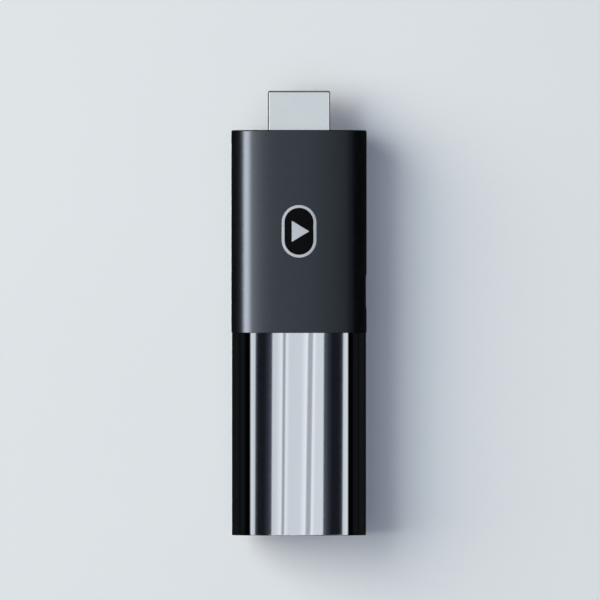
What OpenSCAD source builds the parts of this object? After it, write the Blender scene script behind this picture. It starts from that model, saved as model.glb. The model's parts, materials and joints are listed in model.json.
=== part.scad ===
// Streaming media player stick with a video plug on one end and a power port on one side.
// It lies on its back: +Y points out of the video plug, +X is the side with the power port,
// +Z is up, and the origin is under the middle of its length. Depths along the stick are
// measured back from the plug-end face of the casing.

/* [Casing] */
// Width of the casing
casing_w = 30.2; // [30:0.1:30.6]
// Thickness of the casing
casing_t = 15.2; // [15.1:0.1:15.5]
// Length of the matte half
front_l = 45.2; // [45:0.1:46]
// Length of the glossy half
rear_l = 45.2; // [45:0.1:46]
// Radius of the rounded sides of the oval section
side_r = 6.35; // [6.3:0.05:6.4]
// Wall thickness of both sleeves
wall = 1.3; // [1.2:0.05:1.3]
// How far the glossy half stands inside the surface of the matte half
rear_step = 0.13; // [0:0.01:0.2]

/* [Video plug] */
// Width of the plug's metal shell
plug_w = 13.9; // [13.8:0.05:14]
// Height of the plug's metal shell
plug_t = 4.45; // [4.4:0.05:4.5]
// Length of plug that stands out of the casing
plug_out = 8.8; // [8.6:0.1:9.4]
// Size of the bevels along the underside of the plug
plug_bevel = 1.75; // [1.6:0.05:1.9]
// Contacts in the upper row, one more than in the lower row
plug_ways = 10; // [8:1:10]

/* [Power port] */
// Width of the port's metal shell
port_w = 7.5; // [7.3:0.1:7.7]
// Height of the port's metal shell
port_t = 2.5; // [2.4:0.1:2.6]
// Depth of the port's centre line behind the plug-end face
port_depth = 36; // [35:0.5:37]
// Contacts in the port
port_ways = 5; // [3:1:5]

/* [Board] */
// Width of the main circuit board
board_w = 23.2; // [23:0.1:23.3]
// Thickness of the main circuit board
board_t = 1.2; // [1:0.1:1.2]

/* [Emblem] */
// Width of the emblem ring
emblem_w = 7.8; // [7:0.1:8.4]
// Length of the emblem ring
emblem_l = 11.8; // [11:0.1:13]
// Width of the ring itself
emblem_ring_w = 0.7; // [0.5:0.1:1]
// Depth of the inlays in the casing
emblem_depth = 0.25; // [0.2:0.01:0.3]

/* [Hidden] */
$fn = 64;

// Casing section: two side arcs and two flatter crown arcs that meet tangentially
SIDES = [-1, 1];
casing_l = front_l + rear_l;
face_y = (casing_l - plug_out) / 2;
mid_z = casing_t / 2;
side_x = casing_w / 2 - side_r;
crown_r = (side_x ^ 2 + mid_z ^ 2 - side_r ^ 2) / (casing_t - 2 * side_r);
crown_drop = crown_r - mid_z;
tangent_sin = side_x / (crown_r - side_r);
past = 1;

// Insets from the casing surface, from outside to inside
snap_groove_inset = 1.1;
snap_rib_inset = 1.15;
spigot_inset = wall + 0.05;
spigot_inner_inset = 2.15;
ledge_inset = 2.3;
frame_inset = 2.4;
snap_w = 12;

// Levels above the surface the stick lies on
board_z = mid_z - board_t / 2;
board_top = mid_z + board_t / 2;
frame_low = mid_z - 2.5;
frame_high = mid_z + 1.6;
spreader_top_z = [mid_z + 2.9, mid_z + 3.7];
spreader_bottom_z = [mid_z - 3.7, mid_z - 2.9];

// Depths from the plug-end face
plate_d = [0.3, 1.8];
ledge_d = [1.8, 3.2];
board_front = 9.2;
ear_front = 7;
frame_front = 5;
board_d = [board_front, casing_l - 4];
frame_d = [frame_front, casing_l - 2.4];
cap_d = [casing_l - 1.5, casing_l - 0.1];
cap_lip_front = casing_l - 4;
screw_d = [18.5, 66];
screw_x = 6.5;
shield_top_d = [22, 62];
shield_bottom_d = [40.5, 62];
shield_half_w = 8;
emblem_d = front_l / 2;

// Sheet-metal and contact sizes
plug_sheet = 0.3;
plug_corner_r = 0.5;
plug_back = 8.6;
port_sheet = 0.25;
port_corner_r = 0.4;
port_bevel = 0.7;
port_x = [8.4, 13.6];
shield_sheet = 0.2;
contact_t = 0.2;
contact_w = 0.35;
contact_slot_w = 0.5;
plug_pitch = 1;
port_pitch = 0.65;

// ---- Placing ----------------------------------------------------------------

// Moves to a place: sideways, back from the plug-end face, and up
module at(x, d, z) {
    translate([x, face_y - d, z]) children();
}

// A block between two places along each direction
module block(x, d, z) {
    at(x[0], d[1], z[0]) cube([x[1] - x[0], d[1] - d[0], z[1] - z[0]]);
}

// A block that reaches half_w to each side of the middle
module middle_block(half_w, d, z) {
    block([-half_w, half_w], d, z);
}

// A flat package that stands on the top of the board
module on_board(x, d, size) {
    at(x - size[0] / 2, d + size[1] / 2, board_top) cube(size);
}

// A flat package that hangs under the board
module under_board(x, d, size) {
    at(x - size[0] / 2, d + size[1] / 2, board_z - size[2]) cube(size);
}

// A round post between two heights
module post(x, d, z, r) {
    at(x, d, z[0]) cylinder(h = z[1] - z[0], r = r);
}

// Extrudes an outline drawn across the stick, centred on its middle plane
module along_length(d) {
    translate([0, face_y - d[0], mid_z]) rotate([90, 0, 0]) linear_extrude(d[1] - d[0]) children();
}

// Extrudes an outline drawn on the stick's side, centred on the power port
module through_side(x, d = port_depth) {
    translate([x[0], face_y - d, mid_z]) rotate([90, 0, 90]) linear_extrude(x[1] - x[0]) children();
}

// ---- Outlines ---------------------------------------------------------------

// The casing's oval section, set in from its surface
module oval(inset = 0) {
    tangent_x = side_x + (side_r - inset) * tangent_sin;
    intersection() {
        square([2 * tangent_x, casing_t], center = true);
        translate([0, -crown_drop]) circle(crown_r - inset, $fn = 240);
        translate([0, crown_drop]) circle(crown_r - inset, $fn = 240);
    }
    for (side = SIDES) translate([side * side_x, 0]) circle(side_r - inset, $fn = 96);
}

// The band between two insets
module oval_band(outer, inner) {
    difference() {
        oval(outer);
        oval(inner);
    }
}

// A connector outline with bevelled lower corners, and upper ones square or rounded.
// The bevel changes with grow so that a sheet keeps its thickness all round.
module connector_outline(w, t, bevel, corner, grow = 0) {
    half_w = w / 2 + grow;
    half_t = t / 2 + grow;
    r = corner + grow;
    cut = bevel + (2 - sqrt(2)) * grow;
    square_top = [[-half_w, half_t], [half_w, half_t]];
    stepped_top = [
        [-half_w, half_t - r], [-half_w + r, half_t - r], [-half_w + r, half_t],
        [half_w - r, half_t], [half_w - r, half_t - r], [half_w, half_t - r]
    ];
    bottom = [
        [half_w, cut - half_t], [half_w - cut, -half_t],
        [cut - half_w, -half_t], [-half_w, cut - half_t]
    ];
    polygon(concat(r > 0 ? stepped_top : square_top, bottom));
    if (r > 0) for (side = SIDES) translate([side * (half_w - r), half_t - r]) circle(r);
}

module plug_outline(grow = 0) {
    connector_outline(plug_w, plug_t, plug_bevel, plug_corner_r, grow);
}

module port_outline(grow = 0) {
    connector_outline(port_w, port_t, port_bevel, port_corner_r, grow);
}

// A rectangle with round corners
module round_rect(w, h, r) {
    square([w, h - 2 * r], center = true);
    square([w - 2 * r, h], center = true);
    for (x = SIDES, y = SIDES) translate([x * (w / 2 - r), y * (h / 2 - r)]) circle(r);
}

// An upright slot shape, round at both ends
module pill(w, l) {
    square([w, l - w], center = true);
    for (end = SIDES) translate([0, end * (l - w) / 2]) circle(w / 2);
}

module play_triangle() {
    back_x = -emblem_w * 0.21;
    tip_x = emblem_w * 0.3;
    half_h = emblem_w * 0.31;
    polygon([[back_x, -half_h], [tip_x, 0], [back_x, half_h]]);
}

// ---- Casing -----------------------------------------------------------------

// The top skin of the casing under an emblem outline
module emblem_inlay() {
    difference() {
        intersection() {
            at(0, emblem_d, mid_z) linear_extrude(casing_t) children();
            along_length([0, front_l]) oval();
        }
        along_length([-past, front_l + past]) oval(emblem_depth);
    }
}

module emblem_field_outline() {
    pill(emblem_w - 2 * emblem_ring_w, emblem_l - 2 * emblem_ring_w);
}

// A strip across both crowns, where the sleeves and the cap snap together
module snap_strip(d, outer, inner) {
    intersection() {
        along_length(d) oval_band(outer, inner);
        middle_block(snap_w / 2, d, [0, casing_t]);
    }
}

// Ribs on the side walls that guide the frame's edges
module side_rails(d) {
    rail_z = [1.9, 2.6];
    intersection() {
        along_length(d) oval_band(wall - 0.1, ledge_inset);
        for (x = SIDES, up = SIDES)
            at(x * casing_w * 0.42, d[1], mid_z + up * (rail_z[0] + rail_z[1]) / 2)
                translate([-3, 0, -(rail_z[1] - rail_z[0]) / 2])
                    cube([6, d[1] - d[0], rail_z[1] - rail_z[0]]);
    }
}

spigot_front = front_l - 3.2;
snap_d = [front_l - 2.4, front_l - 1.6];
port_window = [port_w + 0.2, port_t, 0.9];
light_d = 27;
light_z = board_top + 0.55;
light_r = 0.5;

module front_sleeve() color("#383d41") {
    difference() {
        union() {
            difference() {
                along_length([0, front_l]) oval();
                along_length([-past, front_l + past]) oval(wall);
            }
            along_length(ledge_d) oval_band(wall - 0.1, ledge_inset);
            side_rails([ledge_d[1] + 3, spigot_front - 1]);
        }
        emblem_inlay() pill(emblem_w, emblem_l);
        snap_strip(snap_d, snap_groove_inset, wall + 0.2);
        through_side([port_x[1] - 2, casing_w])
            round_rect(port_window[0], port_window[1], port_window[2]);
        at(side_x, light_d, light_z) rotate([0, 90, 0]) cylinder(h = side_r * 2, r = light_r + 0.03);
    }
}

cap_snap_d = [casing_l - 3.2, casing_l - 2.6];

module rear_sleeve() color("#0b0d10") {
    collar_back = front_l + 4;
    stop_d = [cap_lip_front - 1, cap_lip_front - 0.05];
    difference() {
        union() {
            difference() {
                along_length([front_l, casing_l]) oval(rear_step);
                along_length([front_l - past, casing_l + past]) oval(wall);
            }
            along_length([front_l, collar_back]) oval_band(wall - 0.1, spigot_inner_inset);
            along_length([spigot_front, front_l]) oval_band(spigot_inset, spigot_inner_inset);
            snap_strip([snap_d[0] + 0.1, snap_d[1] - 0.1], snap_rib_inset, spigot_inset + 0.2);
            along_length(stop_d) oval_band(wall - 0.1, spigot_inner_inset);
        }
        snap_strip(cap_snap_d, snap_groove_inset, wall + 0.2);
    }
}

module plug_end_plate() color("#2c3034") {
    aperture_gap = 0.2;
    arm_x = [11.5, 12.5];
    barb_x = 13.3;
    arm_half_t = 1.2;
    arm_back = 4.4;
    difference() {
        along_length(plate_d) oval(spigot_inset);
        along_length([plate_d[0] - past, plate_d[1] + past]) plug_outline(aperture_gap);
    }
    for (side = SIDES) {
        arm_span = side > 0 ? arm_x : [-arm_x[1], -arm_x[0]];
        barb_span = side > 0 ? [arm_x[0], barb_x] : [-barb_x, -arm_x[0]];
        block(arm_span, [plate_d[1] - 0.2, arm_back], [mid_z - arm_half_t, mid_z + arm_half_t]);
        block(barb_span, [ledge_d[1] + 0.1, arm_back], [mid_z - arm_half_t, mid_z + arm_half_t]);
    }
}

module tail_cap() color("#0b0d10") {
    along_length(cap_d) oval(spigot_inset);
    along_length([cap_lip_front, cap_d[0]]) oval_band(spigot_inset, spigot_inner_inset + 0.1);
    snap_strip([cap_snap_d[0] + 0.1, cap_snap_d[1] - 0.1], snap_rib_inset, spigot_inset + 0.2);
}

module emblem_ring() color("#b4bbc4") emblem_inlay() difference() {
    pill(emblem_w, emblem_l);
    emblem_field_outline();
}

module emblem_field() color("#020203") emblem_inlay() difference() {
    emblem_field_outline();
    play_triangle();
}

module emblem_triangle() color("#b4bbc4") emblem_inlay() play_triangle();

// ---- Video plug -------------------------------------------------------------

insulator_front = 0.9 - plug_out;
slot_back = -1;
slot_half_w = 5.75;
slot_half_t = 1;

// Sideways places of one row of contacts
function row_places(count, pitch) = [for (i = [0:count - 1]) (i - (count - 1) / 2) * pitch];

module video_plug_shell() color("#c8ccd4") {
    window_x = 3.2;
    window = [1.9, 1.6];
    window_d = -4.6;
    tab_x = [plug_w / 2 - plug_sheet, 9];
    tab_d = [7.2, 8.6];
    difference() {
        along_length([-plug_out, plug_back]) plug_outline();
        along_length([-plug_out - past, plug_back + past]) plug_outline(-plug_sheet);
        for (side = SIDES)
            at(side * window_x - window[0] / 2, window_d + window[1] / 2, mid_z - plug_t)
                cube([window[0], window[1], plug_t]);
    }
    for (side = SIDES) {
        span = side > 0 ? tab_x : [-tab_x[1], -tab_x[0]];
        block(span, tab_d, [board_top, board_top + plug_sheet]);
    }
}

module contact_channels(count, upper) {
    low = upper ? mid_z + slot_half_t - 0.05 : mid_z - slot_half_t - 0.35;
    for (x = row_places(count, plug_pitch))
        block([x - contact_slot_w / 2, x + contact_slot_w / 2],
            [insulator_front + 0.6, plug_back], [low, low + 0.4]);
}

module video_plug_insulator() color("#15161a") {
    back = 8;
    fit = 0.1;
    difference() {
        along_length([insulator_front, back])
            connector_outline(plug_w, plug_t, plug_bevel, 0, -plug_sheet - fit);
        middle_block(slot_half_w, [insulator_front - past, slot_back],
            [mid_z - slot_half_t, mid_z + slot_half_t]);
        contact_channels(plug_ways, true);
        contact_channels(plug_ways - 1, false);
    }
}

// One spring contact: a blade with a raised nose at the mouth and a tail on the board
module plug_contact(x, up) {
    half = contact_w / 2;
    blade = [slot_half_t + 0.05, slot_half_t + 0.05 + contact_t];
    nose = [slot_half_t - 0.25, slot_half_t + 0.05];
    tail = [board_t / 2, board_t / 2 + contact_t];
    tail_d = [board_front, board_front + 2.1];
    levels = [
        [[insulator_front + 0.8, board_front], blade],
        [[insulator_front + 1.6, insulator_front + 2.4], nose],
        [[board_front - contact_t, board_front], [tail[0], blade[1]]],
        [tail_d, tail]
    ];
    for (step = levels) {
        z = up ? step[1] : [-step[1][1], -step[1][0]];
        block([x - half, x + half], step[0], [mid_z + z[0], mid_z + z[1]]);
    }
}

module video_plug_contacts_upper() color("#d9b45a") {
    for (x = row_places(plug_ways, plug_pitch)) plug_contact(x, true);
}

module video_plug_contacts_lower() color("#d9b45a") {
    for (x = row_places(plug_ways - 1, plug_pitch)) plug_contact(x, false);
}

module plug_gasket() color("#6f7275") {
    middle_block(5, [3.6, 7.4], [mid_z + plug_t / 2, spreader_top_z[0]]);
}

// ---- Power port and status light --------------------------------------------

module power_port_shell() color("#c9cbcf") {
    flare = 0.2;
    flare_x = port_x[1] - 0.6;
    difference() {
        union() {
            through_side(port_x) port_outline();
            through_side([flare_x, port_x[1]]) port_outline(flare);
        }
        through_side([port_x[0] + port_sheet, port_x[1] + past]) port_outline(-port_sheet);
        through_side([flare_x + port_sheet, port_x[1] + past]) port_outline(flare - port_sheet);
    }
    for (side = SIDES) {
        tab_d = port_depth + side * (port_w / 2 + 0.25);
        block([port_x[0] + 0.4, port_x[0] + 1.8], [tab_d - 0.5, tab_d + 0.5],
            [board_top, board_top + port_sheet]);
    }
}

tongue_t = 0.5;
tongue_z = mid_z + 0.25;

module power_port_tongue() color("#101114") {
    tongue_half_w = port_w / 2 - 1.1;
    root_x = [port_x[0] + port_sheet, port_x[0] + 1.5];
    channel = contact_w + 0.1;
    difference() {
        union() {
            through_side(root_x) port_outline(-port_sheet);
            block([root_x[0], port_x[1] - 0.6],
                [port_depth - tongue_half_w, port_depth + tongue_half_w],
                [tongue_z, tongue_z + tongue_t]);
        }
        for (y = row_places(port_ways, port_pitch))
            block([port_x[0], port_x[1]],
                [port_depth + y - channel / 2, port_depth + y + channel / 2],
                [tongue_z - contact_t, tongue_z]);
    }
}

module power_port_contacts() color("#d9b45a") {
    tip_x = port_x[1] - 0.9;
    tail_x = [port_x[0] + port_sheet, port_x[0] + 0.5];
    for (y = row_places(port_ways, port_pitch))
        block([tail_x[0], tip_x],
            [port_depth + y - contact_w / 2, port_depth + y + contact_w / 2],
            [tongue_z - contact_t, tongue_z]);
}

led_x = 10.6;

module status_led() color("#e8e4d4") {
    on_board(led_x, light_d, [0.8, 1.6, 0.3]);
    on_board(led_x, light_d, [0.6, 1.1, 0.7]);
}

module light_pipe() color("#dfe6ea") {
    start_x = led_x + 0.5;
    flange_x = casing_w / 2 - wall - 1;
    outer_x = casing_w / 2 - 0.25;
    at(start_x, light_d, light_z) rotate([0, 90, 0]) cylinder(h = outer_x - start_x, r = light_r);
    at(flange_x, light_d, light_z) rotate([0, 90, 0]) cylinder(h = 0.4, r = light_r + 0.25);
}

// ---- Frame, spreaders and pads ----------------------------------------------

module mid_frame() color("#4a4e52") {
    seat_half_w = 10.4;
    pocket_half_w = board_w / 2 + 0.1;
    end_bar = 2;
    saddle_half_w = 8.2;
    saddle_d = [2.2, 8.5];
    plug_low = mid_z - plug_t / 2 - 0.075;
    tab_r = 2.2;
    hole_r = 0.95;
    port_gap = 0.35;
    tabs_z = [mid_z - 1.6, board_z];
    difference() {
        union() {
            difference() {
                intersection() {
                    along_length(frame_d) oval(frame_inset);
                    middle_block(casing_w, frame_d, [frame_low, frame_high]);
                }
                middle_block(seat_half_w, [frame_d[0] + 3.5, frame_d[1] - end_bar], [0, casing_t]);
                middle_block(pocket_half_w, [ear_front - 0.2, board_d[1] + 0.2], [board_z, casing_t]);
                middle_block(plug_w / 2 + 1.2, [0, frame_d[0] + 3.6], [plug_low, casing_t]);
            }
            middle_block(saddle_half_w, saddle_d, [frame_low - 0.9, plug_low]);
            for (side = SIDES, d = screw_d) {
                post(side * screw_x, d, tabs_z, tab_r);
                span = side > 0 ? [screw_x, seat_half_w + 0.2] : [-seat_half_w - 0.2, -screw_x];
                block(span, [d - tab_r * 0.8, d + tab_r * 0.8], tabs_z);
            }
        }
        for (side = SIDES, d = screw_d) post(side * screw_x, d, [0, casing_t], hole_r);
        block([port_x[0], casing_w / 2],
            [port_depth - port_w / 2 - port_gap, port_depth + port_w / 2 + port_gap], [0, casing_t]);
        block([led_x, casing_w / 2], [light_d - 1.2, light_d + 1.2], [board_top, casing_t]);
    }
}

screw_r = 0.8;
screw_head = [1.4, 0.8];

// Pan-head screws through the upper spreader, the board and the frame
module frame_screws() color("#b9bcc0") {
    recess = [0.35, 0.45];
    for (side = SIDES, d = screw_d) difference() {
        union() {
            post(side * screw_x, d, [spreader_bottom_z[0] + 0.1, spreader_top_z[1]], screw_r);
            post(side * screw_x, d, [spreader_top_z[1], spreader_top_z[1] + screw_head[1]], screw_head[0]);
        }
        for (turn = [0, 90])
            at(side * screw_x, d, spreader_top_z[1] + screw_head[1] - recess[1]) rotate(turn)
                translate([-screw_head[0] * 0.6, -recess[0] / 2, 0])
                    cube([screw_head[0] * 1.2, recess[0], recess[1] + past]);
    }
}

rib_pitch = 2;
rib_w = 0.6;
rib_h = 0.9;
rib_rows = [-2:2];
spreader_half_w = 9.4;
standoff_r = 2;

module heat_spreader_top() color("#aeb2b7") {
    spreader_d = [3.4, 76];
    ribs_d = [24, 60];
    difference() {
        union() {
            middle_block(spreader_half_w, spreader_d, spreader_top_z);
            for (row = rib_rows)
                block([row * rib_pitch - rib_w / 2, row * rib_pitch + rib_w / 2], ribs_d,
                    [spreader_top_z[1], spreader_top_z[1] + rib_h]);
            for (side = SIDES, d = screw_d)
                post(side * screw_x, d, [board_top, spreader_top_z[0]], standoff_r);
        }
        for (side = SIDES, d = screw_d) post(side * screw_x, d, [0, casing_t], screw_r + 0.1);
    }
}

module heat_spreader_bottom() color("#aeb2b7") {
    spreader_d = [16, 84];
    ribs_d = [24, 60];
    difference() {
        union() {
            middle_block(spreader_half_w, spreader_d, spreader_bottom_z);
            for (row = rib_rows)
                block([row * rib_pitch - rib_w / 2, row * rib_pitch + rib_w / 2], ribs_d,
                    [spreader_bottom_z[0] - rib_h, spreader_bottom_z[0]]);
            for (side = SIDES, d = screw_d)
                post(side * screw_x, d, [spreader_bottom_z[1], mid_z - 1.6], standoff_r);
        }
        for (side = SIDES, d = screw_d) post(side * screw_x, d, [0, casing_t], screw_r);
    }
}

lid_top_z = mid_z + 2.25;
lid_bottom_z = mid_z - 2.25;

module spreader_pad_top() color("#8fa3b5") {
    middle_block(6, [26, 58], [lid_top_z, spreader_top_z[0]]);
}

module spreader_pad_bottom() color("#8fa3b5") {
    middle_block(6, [43, 59.5], [spreader_bottom_z[1], lid_bottom_z]);
}

processor_size = [12, 12, 0.9];
processor_d = 34;

module processor_pad() color("#8fa3b5") {
    middle_block(5, [processor_d - 5, processor_d + 5],
        [board_top + processor_size[2], lid_top_z - shield_sheet]);
}

module tail_foam_pad() color("#3b3c3e") {
    middle_block(8, [frame_d[1], cap_d[0]], [mid_z - 2, frame_high]);
}

// ---- Board and shields ------------------------------------------------------

module main_board() color("#1f5a3c") {
    ear_x = 7.4;
    port_notch = [port_x[0] - 0.1, port_w / 2 + 0.15];
    difference() {
        union() {
            middle_block(board_w / 2, board_d, [board_z, board_top]);
            for (side = SIDES) {
                span = side > 0 ? [ear_x, board_w / 2] : [-board_w / 2, -ear_x];
                block(span, [ear_front, board_front + 0.2], [board_z, board_top]);
            }
        }
        block([port_notch[0], casing_w / 2], [port_depth - port_notch[1], port_depth + port_notch[1]],
            [0, casing_t]);
        for (side = SIDES, d = screw_d) post(side * screw_x, d, [0, casing_t], screw_r + 0.15);
    }
}

// A low fence soldered to the board, with a flange and a middle bar; z runs from the board outward
module shield_frame(d, z, flange_z) {
    flange = 0.8;
    bar = 0.8;
    middle = (d[0] + d[1]) / 2;
    inner = [d[0] + shield_sheet, d[1] - shield_sheet];
    difference() {
        middle_block(shield_half_w, d, z);
        middle_block(shield_half_w - shield_sheet, inner, flange_z[0] > z[0] ? [z[0] - past, flange_z[0]]
            : [flange_z[1], z[1] + past]);
        middle_block(shield_half_w - flange, [d[0] + flange, middle - bar / 2], [0, casing_t]);
        middle_block(shield_half_w - flange, [middle + bar / 2, d[1] - flange], [0, casing_t]);
    }
}

// A pressed cover that clips over the fence
module shield_lid(d, z, sheet_z) {
    fit = 0.03;
    hole_r = 0.5;
    hole_step = 4;
    grow = fit + shield_sheet;
    difference() {
        middle_block(shield_half_w + grow, [d[0] - grow, d[1] + grow], z);
        middle_block(shield_half_w + fit, [d[0] - fit, d[1] + fit], sheet_z);
        for (side = SIDES, along = [d[0] + hole_step / 2:hole_step:d[1]])
            post(side * (shield_half_w - 1), along, [0, casing_t], hole_r, $fn = 24);
    }
}

module shield_frame_top() color("#c4c7cb") {
    shield_frame(shield_top_d, [board_top, board_top + 1.2], [board_top + 1, board_top + 1.2]);
}

module shield_lid_top() color("#cdd0d4") {
    shield_lid(shield_top_d, [board_top + 0.5, lid_top_z], [0, lid_top_z - shield_sheet]);
}

module shield_frame_bottom() color("#c4c7cb") {
    shield_frame(shield_bottom_d, [board_z - 1.2, board_z], [board_z - 1.2, board_z - 1]);
}

module shield_lid_bottom() color("#cdd0d4") {
    shield_lid(shield_bottom_d, [lid_bottom_z, board_z - 0.5], [lid_bottom_z + shield_sheet, casing_t]);
}

// ---- Chips and small parts --------------------------------------------------

// A chip carrier with a smaller moulded top
module moulded_chip(x, d, size) {
    carrier = 0.3;
    rim = 0.7;
    on_board(x, d, [size[0], size[1], carrier]);
    on_board(x, d, [size[0] - rim, size[1] - rim, size[2]]);
}

module processor() color("#26282b") moulded_chip(0, processor_d, processor_size);

module memory_chips() color("#1d1f22") {
    size = [7.4, 11, 0.8];
    place = [3.9, 48];
    for (side = SIDES) moulded_chip(side * place[0], place[1], size);
}

module flash_storage_chip() color("#1d1f22") {
    size = [11.5, 13, 0.8];
    d = 51;
    under_board(0, d, size);
}

module power_management_chip() color("#1a1b1e") {
    size = [5, 5, 0.75];
    d = 26;
    under_board(0, d, size);
}

module power_inductors() color("#3a3a3e") {
    size = [3, 3, 1.2];
    x = 5;
    rows = [23.5, 29];
    for (side = SIDES, d = rows) under_board(side * x, d, size);
}

module bulk_capacitors() color("#b98a2c") {
    size = [3.2, 1.6, 1.6];
    step = 4.5;
    row_d = 33.5;
    for (i = [-1:1]) under_board(i * step, row_d, size);
}

module ceramic_capacitors() color("#b59a78") {
    size = [1, 0.5, 0.5];
    side_column_x = 7;
    side_column_d = [26:1.5:41];
    row_x = [-4.5:1.5:4.5];
    upper_row_d = 56.5;
    lower_row_d = 37.5;
    for (side = SIDES, d = side_column_d) on_board(side * side_column_x, d, size);
    for (x = row_x) on_board(x, upper_row_d, size);
    for (x = row_x) under_board(x, lower_row_d, size);
}

module chip_resistors() color("#22242a") {
    size = [0.5, 1, 0.35];
    row_x = [-4:1:4];
    row_d = 59.5;
    side_column_x = 9;
    side_column_d = [68:2:76];
    for (x = row_x) on_board(x, row_d, size);
    for (side = SIDES, d = side_column_d) on_board(side * side_column_x, d, size);
}

module signal_filters() color("#4b4d52") {
    size = [1.2, 1, 0.8];
    row_x = [-4.5:3:4.5];
    row_d = 15.8;
    for (x = row_x) on_board(x, row_d, size);
}

module surge_protection_arrays() color("#1d1f22") {
    size = [2.5, 1, 0.5];
    place = [3, 13];
    for (side = SIDES) on_board(side * place[0], place[1], size);
}

module port_fuse() color("#3f6d52") {
    size = [1.6, 3.2, 0.6];
    place = [9.6, 30];
    under_board(place[0], place[1], size);
}

module clock_crystals() color("#c6c9cc") {
    size = [3.2, 2.5, 0.7];
    places = [[-4.5, 25], [0, 65]];
    for (place = places) on_board(place[0], place[1], size);
}

wireless_d = 73.2;
wireless_size = [12, 9, 0.6];

module wireless_module_board() color("#20557a") on_board(0, wireless_d, wireless_size);

module wireless_module_can() color("#cdd0d4") {
    rim = 0.4;
    can_z = [board_top + wireless_size[2], board_top + 2];
    half_w = wireless_size[0] / 2 - rim;
    d = [wireless_d - wireless_size[1] / 2 + rim, wireless_d + wireless_size[1] / 2 - rim];
    difference() {
        middle_block(half_w, d, can_z);
        middle_block(half_w - shield_sheet, [d[0] + shield_sheet, d[1] - shield_sheet],
            [can_z[0] - past, can_z[1] - shield_sheet]);
    }
}

// ---- Antennas ---------------------------------------------------------------

antenna_z = [board_top + 1.4, board_top + 1.6];

// A stamped antenna: a slotted plate with a feed leg and a ground leg
module stamped_antenna(side) {
    plate_x = [3, 10.4];
    plate_d = [79.6, 84.6];
    slot_x = [4.6, 10.4 + past];
    slot_d = [81.6, 82.4];
    leg = 0.2;
    leg_w = 0.8;
    mirror([side > 0 ? 0 : 1, 0, 0]) {
        difference() {
            block(plate_x, plate_d, antenna_z);
            block(slot_x, slot_d, [0, casing_t]);
        }
        for (d = [plate_d[0], plate_d[0] + 2 * leg_w])
            block([plate_x[0], plate_x[0] + leg], [d, d + leg_w], [board_top, antenna_z[1]]);
    }
}

module antenna_left() color("#cfae62") stamped_antenna(-1);

module antenna_right() color("#cfae62") stamped_antenna(1);

// Plastic pegs that hold the antenna plates above the board
module antenna_clips() color("#e6e3da") {
    peg_x = 8.6;
    peg_r = 0.7;
    peg_rows = [80.4, 83.8];
    for (side = SIDES, d = peg_rows) post(side * peg_x, d, [board_top, antenna_z[0]], peg_r);
}

// ---- Drawing ----------------------------------------------------------------

front_sleeve();
rear_sleeve();
plug_end_plate();
tail_cap();
emblem_ring();
emblem_field();
emblem_triangle();
video_plug_shell();
video_plug_insulator();
video_plug_contacts_upper();
video_plug_contacts_lower();
plug_gasket();
power_port_shell();
power_port_tongue();
power_port_contacts();
status_led();
light_pipe();
mid_frame();
frame_screws();
heat_spreader_top();
heat_spreader_bottom();
spreader_pad_top();
spreader_pad_bottom();
processor_pad();
tail_foam_pad();
main_board();
shield_frame_top();
shield_lid_top();
shield_frame_bottom();
shield_lid_bottom();
processor();
memory_chips();
flash_storage_chip();
power_management_chip();
power_inductors();
bulk_capacitors();
ceramic_capacitors();
chip_resistors();
signal_filters();
surge_protection_arrays();
port_fuse();
clock_crystals();
wireless_module_board();
wireless_module_can();
antenna_left();
antenna_right();
antenna_clips();
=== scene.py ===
"""Looks of the streaming stick: smooth shells, moulded and metal finishes, and a soft overhead studio."""

import json
import math

import bmesh
import bpy
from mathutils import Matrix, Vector


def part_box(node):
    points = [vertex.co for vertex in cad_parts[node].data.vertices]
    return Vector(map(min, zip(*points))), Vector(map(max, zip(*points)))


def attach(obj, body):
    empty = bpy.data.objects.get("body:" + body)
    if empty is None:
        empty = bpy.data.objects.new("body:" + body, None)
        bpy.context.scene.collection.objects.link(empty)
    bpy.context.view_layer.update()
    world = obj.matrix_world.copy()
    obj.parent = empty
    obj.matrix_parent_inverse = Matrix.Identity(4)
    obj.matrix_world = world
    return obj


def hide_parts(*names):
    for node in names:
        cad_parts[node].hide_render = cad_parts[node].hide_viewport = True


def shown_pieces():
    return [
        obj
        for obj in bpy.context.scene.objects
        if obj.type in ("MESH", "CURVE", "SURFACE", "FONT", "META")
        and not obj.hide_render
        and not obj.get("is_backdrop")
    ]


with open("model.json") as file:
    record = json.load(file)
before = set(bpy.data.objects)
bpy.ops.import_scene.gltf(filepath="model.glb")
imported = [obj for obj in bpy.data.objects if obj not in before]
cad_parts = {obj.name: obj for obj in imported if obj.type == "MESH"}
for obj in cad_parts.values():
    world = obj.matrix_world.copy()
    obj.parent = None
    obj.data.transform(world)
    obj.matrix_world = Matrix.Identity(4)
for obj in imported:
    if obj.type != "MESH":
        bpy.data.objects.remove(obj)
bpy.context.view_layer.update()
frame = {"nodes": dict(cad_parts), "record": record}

MM = 0.001
SLOT_OF = {part["node"]: part["material_slot"] for part in frame["record"]["subparts"]}


def box_mm(node):
    """Lowest and highest corner of a CAD node, in millimetres to the nearest 0.05."""
    return [Vector([round(c / MM * 20) / 20 for c in corner]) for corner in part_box(node)]


# ---- Sizes, in millimetres ---------------------------------------------------

FRONT_LOW, FRONT_HIGH = box_mm("front_sleeve")
REAR_LOW, REAR_HIGH = box_mm("rear_sleeve")
CAP_LOW, CAP_HIGH = box_mm("tail_cap")
PLUG_LOW, PLUG_HIGH = box_mm("video_plug_shell")
PORT_LOW, PORT_HIGH = box_mm("power_port_shell")
EMBLEM_LOW, EMBLEM_HIGH = box_mm("emblem_ring")
FIELD_LOW, FIELD_HIGH = box_mm("emblem_field")
TRIANGLE_LOW, TRIANGLE_HIGH = box_mm("emblem_triangle")
PIPE_LOW, PIPE_HIGH = box_mm("light_pipe")

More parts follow.
